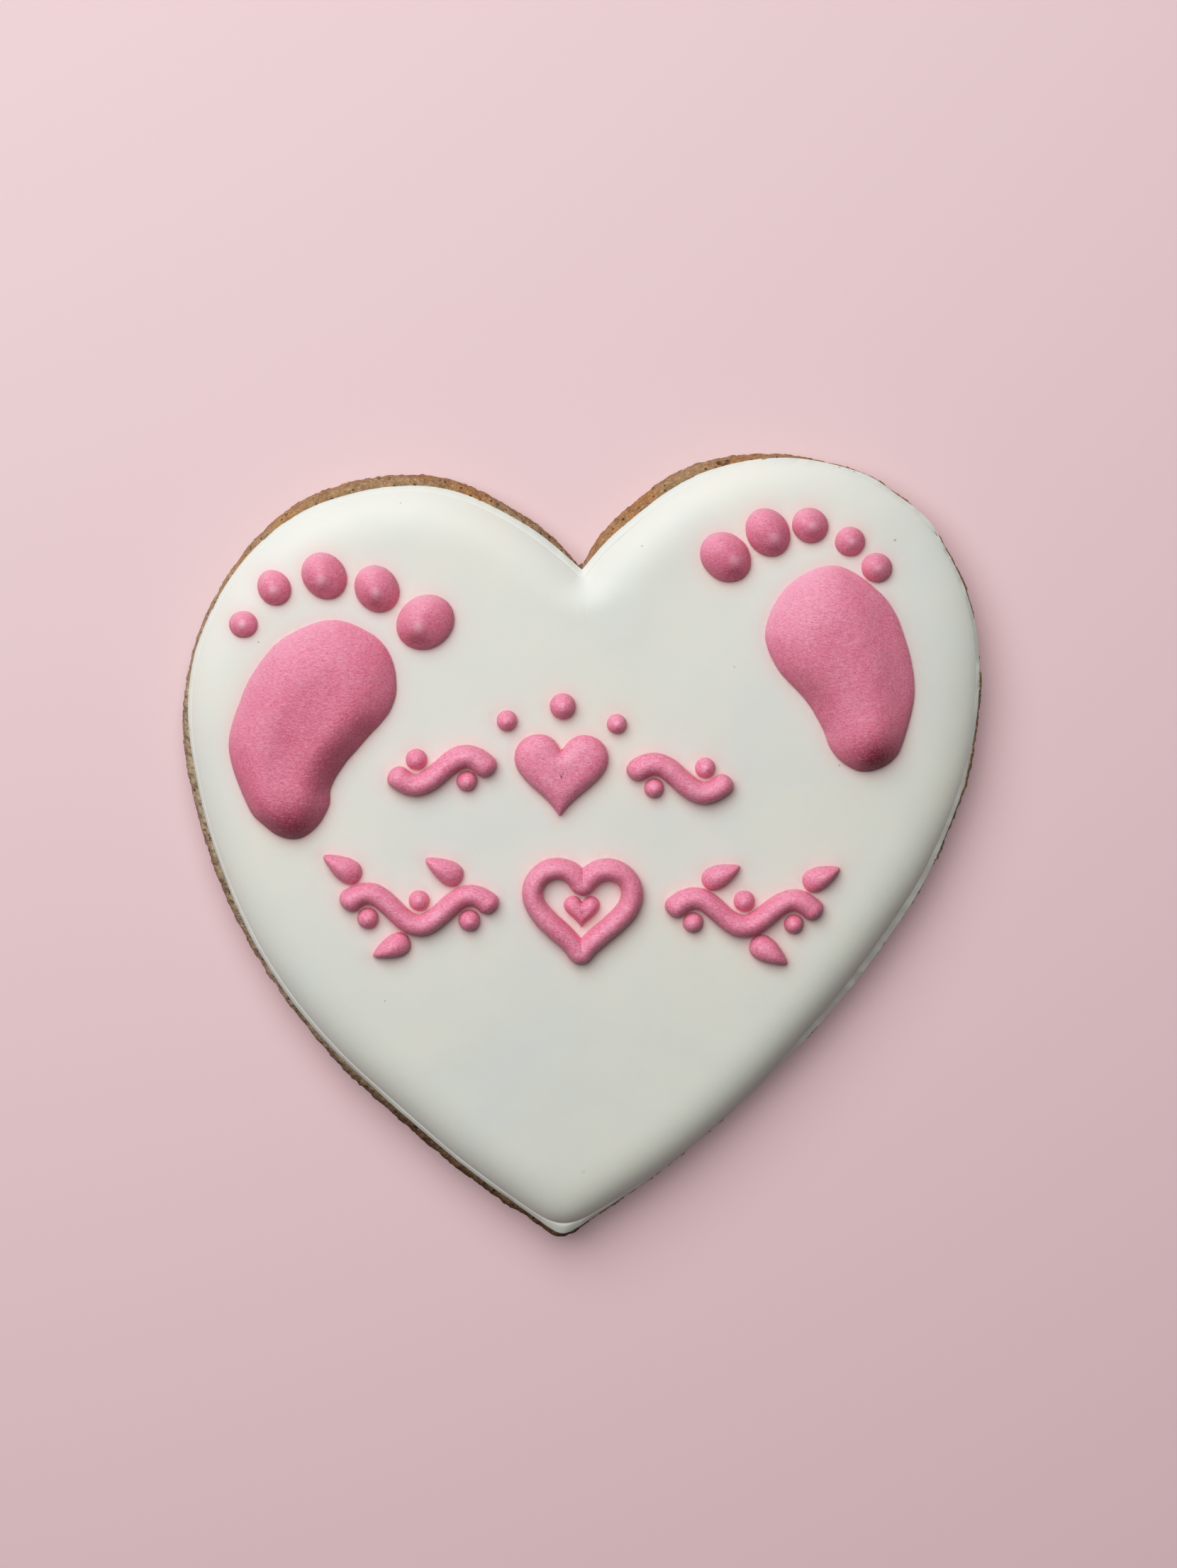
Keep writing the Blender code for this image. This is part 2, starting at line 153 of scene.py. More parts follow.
def cutHeart(steps):
    # icing edge and its three further columns, anticlockwise from the notch
    left = evenSteps(smoothRun(heartCut["left"]), steps)
    right = evenSteps(smoothRun(heartCut["right"][::-1]), steps)
    both = np.vstack([left, right])
    point = nearTo(both, both[steps, :2], heartCut["pointReach"])[:, None]
    both[:, :2] += point * (soften(both[:, :2], heartCut["pointFlow"]) - both[:, :2])
    return both[:, :2], *both[:, 2:].T


def softDepth(points, outline, finer=1):
    # how far in from an outline points lie, rounded off between its sides: each bit of the
    # outline counts with the inverse cube of its distance
    closed = np.vstack([outline, outline[:1]])
    edge = evenSteps(closed, len(outline) * finer)
    step = wayAlong(closed)[-1] / len(edge)
    depths = []
    for some in np.array_split(points[:, :2], 1 + len(points) // 500):
        away = np.maximum(((some[:, None] - edge[None]) ** 2).sum(axis=2), 1e-6)
        depths.append(np.sqrt(2 / (step * (1 / (away * np.sqrt(away))).sum(axis=1))))
    return np.concatenate(depths)


def nearestOn(outline, points):
    # which point of an outline is nearest to each point of the plan, and how far away
    tree = KDTree(len(outline))
    for i, (x, y) in enumerate(outline):
        tree.insert((x, y, 0.0), i)
    tree.balance()
    found = [tree.find((x, y, 0.0))[1:] for x, y in points[:, :2]]
    return np.array([i for i, _ in found]), np.array([far for _, far in found])


def unevenness(seed, cells=32):
    # smooth seeded noise in space, from -1 to 1; shifted points keep two uses apart
    table = np.random.default_rng(seed).uniform(-1, 1, (cells,) * 3)

    def noise(points, size):
        spot = points / size
        low = np.floor(spot).astype(int)
        part = spot - low
        part = part * part * (3 - 2 * part)
        total = np.zeros(len(points))
        for corner in np.ndindex(2, 2, 2):
            share = np.prod(np.where(corner, part, 1 - part), axis=1)
            x, y, z = ((low + corner) % cells).T
            total += share * table[x, y, z]
        return total

    return noise


def summed(noise, points, sizes, shift, start=0):
    # noise of several sizes, each with its own depth
    return sum((depth * noise(points + shift * i, size)
                for i, (size, depth) in enumerate(sizes)), start)


# Meshes

def newObject(name, data):
    thing = bpy.data.objects.new(name, data)
    bpy.context.scene.collection.objects.link(thing)
    return thing


def build(name, rings, material, materialSlot, node, looped=False):
    # a skin over rings, lowest first, with a fan at each end, or, if looped, joined from the
    # last ring to the first
    rings = np.array(rings)
    rows, around = rings.shape[:2]
    points = rings.reshape(-1, 3)
    i = np.arange(around)
    j = (i + 1) % around
    starts = np.arange(rows if looped else rows - 1) * around
    nextStarts = (starts + around) % (rows * around)
    quads = np.stack([np.add.outer(starts, i), np.add.outer(starts, j),
                      np.add.outer(nextStarts, j), np.add.outer(nextStarts, i)], axis=-1)
    faces = quads.reshape(-1, 4).tolist()
    if not looped:
        low, high = len(points), len(points) + 1
        points = np.vstack([points, rings[0].mean(0), rings[-1].mean(0)])
        top = (rows - 1) * around
        faces += np.column_stack([j, i, np.full(around, low)]).tolist()
        faces += np.column_stack([top + i, top + j, np.full(around, high)]).tolist()
    mesh = bpy.data.meshes.new(name)
    mesh.from_pydata((points * mm).tolist(), [], faces)
    mesh.shade_smooth()
    mesh.materials.append(material)
    piece = newObject(name, mesh)
    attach(piece, "root")
    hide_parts(node)
    return piece


def spotsOf(piece):
    return np.array([v.co for v in piece.data.vertices]) / mm


def addFloat(piece, name, values):
    # a number on each point of a piece, for its material to read
    attribute = piece.data.attributes.new(name, "FLOAT", "POINT")
    attribute.data.foreach_set("value", np.asarray(values, np.float32))


def surfaceReader(piece, beside=0.0, highest=50.0):
    # reads how high a piece's upper side is over points of the plan
    tree = BVHTree.FromPolygons([v.co / mm for v in piece.data.vertices],
                                [f.vertices for f in piece.data.polygons])

    def heights(points):
        down = Vector((0.0, 0.0, -1.0))
        hits = [tree.ray_cast(Vector((x, y, highest)), down)[0] for x, y in points[:, :2]]
        return np.array([hit.z if hit else beside for hit in hits])

    return heights


# Materials

def tint(red, green, blue):
    # a colour as it is read off a picture, from 0 to 255, made linear
    shares = np.array([red, green, blue]) / 255
    linear = np.where(shares <= 0.04045, shares / 12.92, ((shares + 0.055) / 1.055) ** 2.4)
    return (*[float(c) for c in linear], 1.0)


def put(tree, kind, inputs=None, **settings):
    # adds a node; an input is a number or colour, or the socket that feeds it
    node = tree.nodes.new("ShaderNode" + kind)
    for name, value in settings.items():
        setattr(node, name, value)
    for name, value in (inputs or {}).items():
        if isinstance(value, bpy.types.NodeSocket):
            tree.links.new(value, node.inputs[name])
        else:
            node.inputs[name].default_value = value
    return node


def readFloat(tree, name):
    return put(tree, "Attribute", attribute_name=name).outputs["Fac"]


def mathOf(tree, operation, *values):
    return put(tree, "Math", dict(enumerate(values)), operation=operation).outputs[0]


def noiseOf(tree, place, size, detail=2.0, roughness=0.5):
    inputs = {"Vector": place, "Scale": 1 / size, "Detail": detail, "Roughness": roughness}
    return put(tree, "TexNoise", inputs).outputs["Fac"]


def stretch(tree, value, low, high, toLow=0.0, toHigh=1.0):
    # maps a value from one range to another, held at the ends
    inputs = {"Value": value, "From Min": low, "From Max": high, "To Min": toLow, "To Max": toHigh}
    return put(tree, "MapRange", inputs).outputs[0]


def blendColour(tree, share, first, second, way="MIX"):
    # sockets 6 and 7 are a Mix node's two colours
    inputs = {0: share, 6: first, 7: second}
    return put(tree, "Mix", inputs, data_type="RGBA", blend_type=way).outputs[2]


def raised(tree, height, depth, strength=1.0, under=None):
    # a bump whose height of 1 stands for depth in millimetres
    inputs = {"Height": height, "Distance": depth * mm, "Strength": strength}
    if under is not None:
        inputs["Normal"] = under
    return put(tree, "Bump", inputs).outputs[0]


def newMaterial(name, look):
    # its tree and the place in millimetres, with functions that read what look names: a noise,
    # and a colour on its way towards another by a share of some value
    material = bpy.data.materials.new(name)
    material.use_nodes = True
    tree = material.node_tree
    tree.nodes.clear()
    place = put(tree, "TexCoord").outputs["Object"]
    place = put(tree, "VectorMath", {0: place, 1: (1 / mm,) * 3}, operation="MULTIPLY").outputs[0]

    def noise(key, spot=place):
        return noiseOf(tree, spot, *look[key])

    def towards(colour, value, share, key, way="MIX"):
        return blendColour(tree, stretch(tree, value, *look[share]), colour, tint(*look[key]), way)

    return material, tree, place, noise, towards


def finishShader(tree, inputs):
    shader = put(tree, "BsdfPrincipled", inputs)
    put(tree, "OutputMaterial", {"Surface": shader.outputs[0]})


# Baked dough: sandy brown crumb

doughLook = {
    "crumb": (194, 166, 134),
    "warm": (199, 154, 107),
    "pale": (224, 204, 176),
    "toasted": (142, 112, 82),
    "floury": (202, 187, 166),  # paler and greyer down the sides
    "shaded": (164, 138, 116),  # and darker towards the point: painted shade on the walls that face away from the light
    "pitShade": (60, 46, 36),
    "patch": (9.0, 2.0, 0.5),  # each noise: size, detail, roughness
    "mottle": (1.1, 4.0, 0.65),
    "grain": (0.32, 3.0, 0.7),
    "pitSize": 0.7,
    "warmShare": (0.42, 0.62),  # each share: from, to, its least and most
    "flouryShare": (49.0, 26.0, 0.0, 0.85),  # by y
    "toastedShare": (0.4, 0.7, 0.0, 0.7),
    "paleShare": (0.52, 0.72, 0.0, 0.8),
    "pitted": (0.66, 0.74),
    "pitShare": (0.34, 0.12, 0.0, 0.7),
    "shadedShare": (-20.0, -40.0, 0.0, 0.9),  # by y; painted shade
    "footShare": (2.6, 0.2, 0.0, 0.45),  # by height
    "grainDepth": (0.3, 1.0),  # depth and strength
    "pitDepth": (-0.25, 0.9),
}


def doughFinish():
    look = doughLook
    material, tree, place, noise, towards = newMaterial("bakedGingerbread", look)
    colour = towards(tint(*look["crumb"]), noise("patch"), "warmShare", "warm")
    spot = put(tree, "SeparateXYZ", {0: place})
    colour = towards(colour, spot.outputs[1], "flouryShare", "floury")
    colour = towards(colour, noise("mottle"), "toastedShare", "toasted")
    grain = noise("grain")
    colour = towards(colour, grain, "paleShare", "pale")
    # pits: dents in the bump, with painted shade in them
    cells = put(tree, "TexVoronoi", {"Vector": place, "Scale": 1 / look["pitSize"]})
    chance = put(tree, "SeparateColor", {0: cells.outputs["Color"]}).outputs[0]
    isPit = stretch(tree, chance, *look["pitted"])
    isNear = stretch(tree, cells.outputs["Distance"], *look["pitShare"])
    pits = mathOf(tree, "MAXIMUM", mathOf(tree, "MULTIPLY", isPit, isNear), readFloat(tree, "hole"))
    # painted shade in the pits and round the rim of the hole
    colour = blendColour(tree, pits, colour, tint(*look["pitShade"]))
    # painted shade on the lower walls, which face away from the light, darker towards the point
    colour = towards(colour, spot.outputs[1], "shadedShare", "shaded", "MULTIPLY")
    colour = towards(colour, spot.outputs[2], "footShare", "toasted")
    crumbs = raised(tree, grain, *look["grainDepth"])
    dents = raised(tree, pits, *look["pitDepth"], crumbs)
    finishShader(tree, {"Base Color": colour, "Roughness": 0.85, "Normal": dents,
                        "Specular IOR Level": 0.25})
    return material


doughHeart = {
    "height": 6.5,
    "wall": [                 # share of the height, way in from the widest outline
        (0.0, 0.8), (0.08, 0.15), (0.35, 0.0), (0.65, 0.1), (0.9, 0.35), (1.0, 1.0),
    ],
    "wallRows": 32,
    "topRows": [1.2, 1.45, 1.8, 3.0],  # way in, under the icing
    "squarest": 0.35,         # its top edge is squarer where less of it stays bare
    "roundFrom": 0.8,         # and fully round where this much does
    "covered": (0.1, 0.15),   # way in under the icing, and over what distance,
    "sinks": 0.3,             # where it sinks by this, to keep crumbs below
    "standsIn": 0.14,         # how far the crags stand in on average
    "topLower": 0.05,         # and below the height
    "crags": [(6.5, 0.11), (2.4, 0.15), (1.0, 0.13), (0.46, 0.13)],  # size, depth
    "pores": (1.2, 0.55, 0.8),  # size of their noise, where it begins, depth
    "underRows": [0.88, 0.7, 0.5, 0.3, 0.1],  # shares of the outline
    "underIn": 2.0,
    "underPits": (0.06, 1.4, 0.7),  # height and the sizes of their noise
    "hole": (18.4, 54.4, 0.8, 0.36, 12, 0.5),  # an oval: x, y, its reaches, turn, depth
    "holeRimShade": (0.75, 0.8, 0.35),  # how dark its painted shade is, how far out and how wide
    "seed": 7,
}


def ovalHole(spots):
    # how deep each spot lies in the hole, and how dark its painted shade is there: darkest round its
    # rim
    x, y, *oval, _ = doughHeart["hole"]
    dark, out, width = doughHeart["holeRimShade"]
    far = np.hypot(*inOval(spots[:, 0] - x, spots[:, 1] - y, *oval))
    onTop = spots[:, 2] > doughHeart["height"] - 2
    return np.exp(-far ** 3) * onTop, dark * np.exp(-((far - out) / width) ** 2) * onTop


def makeDough(material):
    p = doughHeart
    edge, bare, _, _ = cutHeart(heartCut["halfSteps"] * heartCut["finer"])
    edge = edge + outward(edge) * bare[:, None]
    noise = unevenness(p["seed"])
    middle = np.array(heartCut["middle"])
    wall = smoothRun(p["wall"], fineness=20)
    way = wayAlong(wall * (p["height"], 1.0))
    wall = readAlong(wall, way, np.linspace(0, way[-1], p["wallRows"]))

    def cragged(loop, height, onTop):
        ring = atHeight(loop, height)
        out = summed(noise, ring, p["crags"], 40)
        poreSize, least, poreDepth = p["pores"]
        out = out - np.clip(noise(ring + 300, poreSize) - least, 0, 1) * poreDepth
        ring[:, :2] += outward(loop) * (out - p["standsIn"])[:, None]
        hole = p["hole"][-1] * ovalHole(ring)[0]
        ring[:, 2] += onTop * (out - p["topLower"] - hole)
        return ring

    rings = []
    pitHeight, *pitSizes = p["underPits"]
    for share in reversed(p["underRows"]):
        ring = atHeight(middle + (inset(edge, middle, p["underIn"]) - middle) * share)
        ring[:, 2] = pitHeight * np.clip(sum(noise(ring, size) for size in pitSizes), 0, 1)
        rings.append(ring)
    topRows = [(1.0, depth) for depth in p["topRows"]]
    squarest, (wayIn, over) = p["squarest"], p["covered"]
    squarer = squarest + (1 - squarest) * np.clip(bare / p["roundFrom"], 0, 1)
    for share, depth in [*wall, *topRows]:
        depth = depth * squarer if 0.5 < share and depth <= 1 else depth + 0 * bare
        ring = cragged(inset(edge, middle, depth), share * p["height"], share ** 6)
        covered = np.clip((depth - bare - wayIn) / over, 0, 1)
        highest = p["height"] - p["sinks"] * covered
        ring[:, 2] = np.clip(ring[:, 2], 0, highest)
        rings.append(ring)
    heart = build("gingerbreadHeart", rings, material, "dough", "cookie")
    # the float named hole holds the painted shade round the hole's rim
    addFloat(heart, "hole", ovalHole(spotsOf(heart))[1])
    return heart


# Poured icing: a thin lip, a crease, then the dome over a broad soft shoulder

icingLook = {
    "white": (239, 241, 234),
    "cool": (232, 236, 231),
    "warm": (242, 241, 228),
    "bleedAndBounce": (240, 196, 196),  # pink dye bled from the sugar beside it, with painted light bounced off that sugar
    "bleedAndBounceMost": 0.55,
    "bleedAndBounceReach": 0.95,
    "speck": (150, 140, 118),
    "specks": [               # x, y, width, strength of the few marks in it
        (-26.5, -21.1, 0.28, 0.6), (7.3, 42.8, 0.3, 0.6), (20.5, 26.5, 0.25, 0.6),
        (35.5, 13.2, 0.35, 0.6), (42.2, 44.4, 0.45, 0.5), (-25.8, 47.8, 0.28, 0.6),
        (1.7, -44.8, 0.8, 0.13), (-44.8, 28.4, 0.3, 0.6),
    ],
    "frays": (0.25,),         # their ragged rims; each noise: size, detail
    "patch": (16.0, 3.0),
    "patchShare": (0.35, 0.65),
    "whiteShare": 0.5,
    "swell": (5.0, 2.0),
    "swellDepth": (0.06, 0.5),
    "skin": (0.35, 3.0),
    "skinDepth": (0.012, 0.6),
    "smears": (2.5, 3.0),
    "roughness": (0.3, 0.7, 0.42, 0.52),  # low and high smears, what it is there
}


def icingFinish():
    look = icingLook
    material, tree, place, noise, towards = newMaterial("pouredWhiteIcing", look)
    colour = towards(tint(*look["cool"]), noise("patch"), "patchShare", "warm")
    colour = blendColour(tree, look["whiteShare"], colour, tint(*look["white"]))
    # pink dye bleed beside the sugar, with painted bounce light from it
    colour = blendColour(tree, readFloat(tree, "bleedAndBounce"), colour, tint(*look["bleedAndBounce"]))
    ragged = noise("frays")
    marks = 0.0
    for x, y, width, strength in look["specks"]:
        flat = put(tree, "VectorMath", {0: place, 1: (1.0, 1.0, 0.0)}, operation="MULTIPLY")
        away = put(tree, "VectorMath", {0: flat.outputs[0], 1: (x, y, 0.0)}, operation="DISTANCE")
        frayed = mathOf(tree, "MULTIPLY_ADD", ragged, width, away.outputs["Value"])
        marks = mathOf(tree, "MAXIMUM", stretch(tree, frayed, width, width * 0.6, 0.0, strength), marks)
    colour = blendColour(tree, marks, colour, tint(*look["speck"]))
    swell = raised(tree, noise("swell"), *look["swellDepth"])
    skin = raised(tree, noise("skin"), *look["skinDepth"], swell)
    rough = stretch(tree, noise("smears"), *look["roughness"])
    finishShader(tree, {
        "Base Color": colour, "Roughness": rough, "Normal": skin, "IOR": 1.45,
        "Specular IOR Level": 0.4, "Subsurface Weight": 0.25, "Subsurface Scale": 0.9 * mm,
        "Subsurface Radius": (1.0, 0.9, 0.75)})
    return material


icingHeart = {
    "bedded": 0.05,           # how far its underside lies in the dough
    "underShares": (0.25, 0.5, 0.75),
    "underIn": 1.6,
    "footDepth": 0.12,
    "footRise": 0.1,
    "footSunk": 0.06,
    "bridges": 1.5,           # its foot spans hollows this wide
    "hangs": 0.5,             # and hangs at most this far down
    "lipRise": 0.5,           # height of the lip's bevel
    "lipReach": 1.3,          # and how far in it goes at most
    "lipPower": (1.3, 0.8),   # more than 1 swells, less runs out flat: left and right
    "lipTurns": (5.0, 20.0),  # the x between which it changes
    "lipLeast": 0.12,         # share of its rise where the side is gentlest
    "lipRows": 22,
    "lipSway": (0.25, 7.0),   # share and size of changes in its width
    "creaseDip": 0.05,
    "creaseWidth": 0.15,      # by the lip's width
    "creaseFlow": 3.1,        # rounding of the crease's corners
    "notchReach": 5.0,        # round the notch it stays with the edge
    "top": 9.62,
    "domeReach": 7.6,
    "domePower": 3.1,
    "quickShare": 0.12,       # of the rise, at once beside the crease
    "quickReach": 0.7,
    "slowReach": 22.0,        # for the rise where the side is gentle
    "slowPower": 2.0,
    "domeDepth": 9.0,
    "domeRows": 56,
    "rowsCrowd": 1.6,         # more brings the rows closer to the crease
    "middleRows": 44,
    "innermost": 0.015,       # how near the middle the last ring lies, as a share
    "wobble": [(11.0, 0.12), (4.0, 0.05)],  # size, depth
    "edgeIn": 0.05,           # the edge lies this far in on average
    "swells": [(15.0, 0.05), (6.0, 0.016)],  # size and height of slow waves
    "seed": 11,
}


def makeIcing(material, doughTop):
    p = icingHeart
    noise, low = unevenness(p["seed"]), doughHeart["height"]
    edge, _, lip, steep = cutHeart(heartCut["halfSteps"])
    middle = np.array(heartCut["middle"])
    flatEdge = atHeight(edge)
    wobble = summed(noise, flatEdge, p["wobble"], 30)
    edge = edge + outward(edge) * (wobble - p["edgeIn"])[:, None]
    sway, swaySize = p["lipSway"]
    crease = inset(edge, middle, lip * (1 + sway * noise(flatEdge + 500, swaySize)))
    flowed = soften(crease, p["creaseFlow"])
    crease = flowed + nearTo(edge, edge[0], p["notchReach"])[:, None] * (crease - flowed)
    lipWidth = np.linalg.norm(crease - edge, axis=1)
    under = low - p["bedded"]
    rings = [atHeight(middle + (edge - middle) * share, under) for share in p["underShares"]]
    rings.append(atHeight(inset(edge, middle, p["underIn"]), under))
    foot = inset(edge, middle, p["footDepth"])
    level = doughTop(foot)
    level = np.maximum(level, soften(level[:, None], p["bridges"])[:, 0])
    base = np.maximum(level, low - p["hangs"]) - p["footSunk"]
    for turn in np.radians([0, 35, 65, 90]):  # from the foot out to the edge
        rings.append(atHeight(foot + (edge - foot) * math.sin(turn),
                              base + p["footRise"] * (1 - math.cos(turn))))
    start = base + p["footRise"]
    lipEnd = low + p["lipRise"] * (p["lipLeast"] + (1 - p["lipLeast"]) * steep)
    creaseHeight = lipEnd - p["creaseDip"]
    for share in np.linspace(0, 1, p["lipRows"])[1:]:
        up = np.minimum(share * lipWidth / np.minimum(lipWidth, p["lipReach"]), 1)
        dip = p["creaseDip"] * math.exp(-((share - 1) / p["creaseWidth"]) ** 2)
        bevel = 1 - (1 - up) ** np.interp(edge[:, 0], p["lipTurns"], p["lipPower"])
        height = start + (lipEnd - start) * bevel - dip
        rings.append(atHeight(edge + (crease - edge) * share, height))

    def domed(flat, finer):
        depth = softDepth(flat, crease, finer)
        dome = 1 - (1 - np.minimum(depth / p["domeReach"], 1)) ** p["domePower"]
        slow = 1 - (1 - np.minimum(depth / p["slowReach"], 1)) ** p["slowPower"]
        quick = 1 - np.exp(-depth / p["quickReach"])
        dome += p["quickShare"] * (quick - dome)
        rise = (p["top"] - creaseHeight) * (steep * dome + (1 - steep) * slow)
        return atHeight(flat, creaseHeight + rise)

    for share in np.linspace(0, 1, p["domeRows"])[1:] ** p["rowsCrowd"]:
        rings.append(domed(inset(crease, middle, p["domeDepth"] * share), 4 if share < 0.1 else 2))
    last = rings[-1][:, :2]
    for share in np.linspace(1, p["innermost"], p["middleRows"])[1:]:
        rings.append(domed(middle + (last - middle) * share, 1))
    rings = np.array(rings)
    over = np.clip((rings[:, :, 2] - lipEnd) / (p["top"] - lipEnd), 0, 1)
    spots = rings.reshape(-1, 3) * (1, 1, 0)
    waves = summed(noise, spots + 200, p["swells"], 30)
    rings[:, :, 2] += waves.reshape(over.shape) * over
    return build("whiteIcing", rings, material, "white_icing", "icing")


# Pink sugar icing: dry and fine-grained, with paler and darker grains

pinkLook = {                  # each pink: its own colour, its paler one and its deeper one
    "leftSole": [(234, 141, 168), (252, 202, 216), (198, 86, 118)],
    "rightSole": [(242, 153, 179), (255, 210, 222), (206, 94, 126)],
    "leftToes": [(235, 145, 171), (255, 208, 220), (200, 84, 116)],
    "rightToes": [(234, 145, 171), (252, 204, 218), (196, 82, 112)],
    "piped": [(247, 158, 184), (255, 222, 232), (210, 92, 128)],
    "paintedSlopeShade": (158, 48, 76),  # painted shade where slopes face away from the light
    "paintedGlow": (255, 156, 182),  # painted glow on rims that face away from the light
    "mottle": (4.5, 3.0),     # size, detail, roughness
    "mottleShare": (0.35, 0.7, 0.0, 0.16),  # from, to, least, most
    "clump": (0.45, 3.0, 0.7),
    "clumpShare": (0.45, 0.7, 0.0, 0.12),
    "lumps": (0.45, 3.0, 0.6),
    "lumpDepth": (0.03, 0.4),
    "grain": 0.14,
    "grainDepth": (-0.035, 0.7),
    "lightShare": (0.6, 1.0, 0.0, 0.26),
    "drawn": (0.33, 1.0, 1.0),  # its wrinkles are drawn out along x
    "wrinkle": (0.2, 2.0, 0.6),
    "wrinkleDepth": (0.04, 0.6),
    "creaseShare": (0.48, 0.3, 0.0, 0.36),
    "ridgeShare": (0.52, 0.7, 0.0, 0.3),
    "glow": (0.12, 1.2),      # how much light passes, and how deep
    "litSide": (-0.5, 0.87),  # edges that face the light this way get a painted highlight
    "uneven": [(1.8, 0.03), (0.7, 0.014)],  # size and depth
    "sunk": 0.06,             # how far each piece stands in the icing
}


def pinkFinish(name, colours, strewn, glow=None):
    look = pinkLook | dict(zip(("base", "pale", "deep"), colours))
    material, tree, place, noise, towards = newMaterial(name, look)
    glow, glowDepth = glow or look["glow"]
    colour = towards(tint(*look["base"]), noise("mottle"), "mottleShare", "pale")
    colour = towards(colour, noise("clump"), "clumpShare", "deep")
    cells = put(tree, "TexVoronoi", {"Vector": place, "Scale": 1 / look["grain"]})
    chance = put(tree, "SeparateColor", {0: cells.outputs["Color"]})
    # painted glow on the rims away from the light, then painted shade on slopes facing away
    for kind in ("paintedGlow", "paintedSlopeShade"):
        colour = blendColour(tree, readFloat(tree, kind), colour, tint(*look[kind]))
    colour = towards(colour, chance.outputs[0], "lightShare", "pale")
    dark = stretch(tree, chance.outputs[1], 1 - strewn, 1 - strewn * 0.4, 0.0, 0.4)
    colour = blendColour(tree, dark, colour, tint(*look["deep"]))
    drawn = put(tree, "VectorMath", {0: place, 1: look["drawn"]}, operation="MULTIPLY")
    wrinkles = noise("wrinkle", drawn.outputs[0])
    colour = towards(colour, wrinkles, "creaseShare", "deep")
    colour = towards(colour, wrinkles, "ridgeShare", "pale")
    # painted highlight on the lit edges and at the toes' peaks
    colour = blendColour(tree, readFloat(tree, "paintedHighlight"), colour, tint(*look["pale"]))
    lumpy = raised(tree, noise("lumps"), *look["lumpDepth"])
    lumpy = raised(tree, wrinkles, *look["wrinkleDepth"], lumpy)
    grains = raised(tree, cells.outputs["Distance"], *look["grainDepth"], lumpy)
    finishShader(tree, {
        "Base Color": colour, "Roughness": 0.5, "Normal": grains, "Specular IOR Level": 0.5,
        "Subsurface Weight": glow, "Subsurface Scale": glowDepth * mm,
        "Subsurface Radius": (1.0, 0.25, 0.35)})
    return material


def rims(flat, outline, *strengths):
    # floats strongest at the edge: a painted highlight on the side that faces the window, then a
    # painted glow on the other
    facing = outward(outline) @ pinkLook["litSide"]
    nearest, away = nearestOn(outline, flat)
    return [strength * np.clip(way * facing[nearest], 0, 1) * np.exp(-away / reach)
            for way, (strength, reach) in zip((1, -1), strengths)]


pinkOutlines = []             # of each pink piece, for the dye bleed and painted bounce light round it


def layDown(name, node, rings, outline, sugar, seed, looped=False):
    # builds a piece, a little uneven as dried sugar is and a little sunk in the icing; sugar is
    # its material, its slot, which is not used, and the reader of the icing's height
    material, slot, icingTop = sugar
    pinkOutlines.append(outline)
    noise = unevenness(seed)
    spots = rings.reshape(-1, 3)
    shift = np.zeros_like(spots)
    for i, (size, depth) in enumerate(pinkLook["uneven"]):
        for axis in range(3):
            shift[:, axis] += depth * noise(spots + 50 * i + 17 * axis, size)
    spots = spots + shift
    spots[:, 2] += icingTop(spots) - pinkLook["sunk"]
    return build(name, spots.reshape(rings.shape), material, slot, node, looped)


# Soles: flooded pillows with steep sides, a soft shoulder and shallow relief

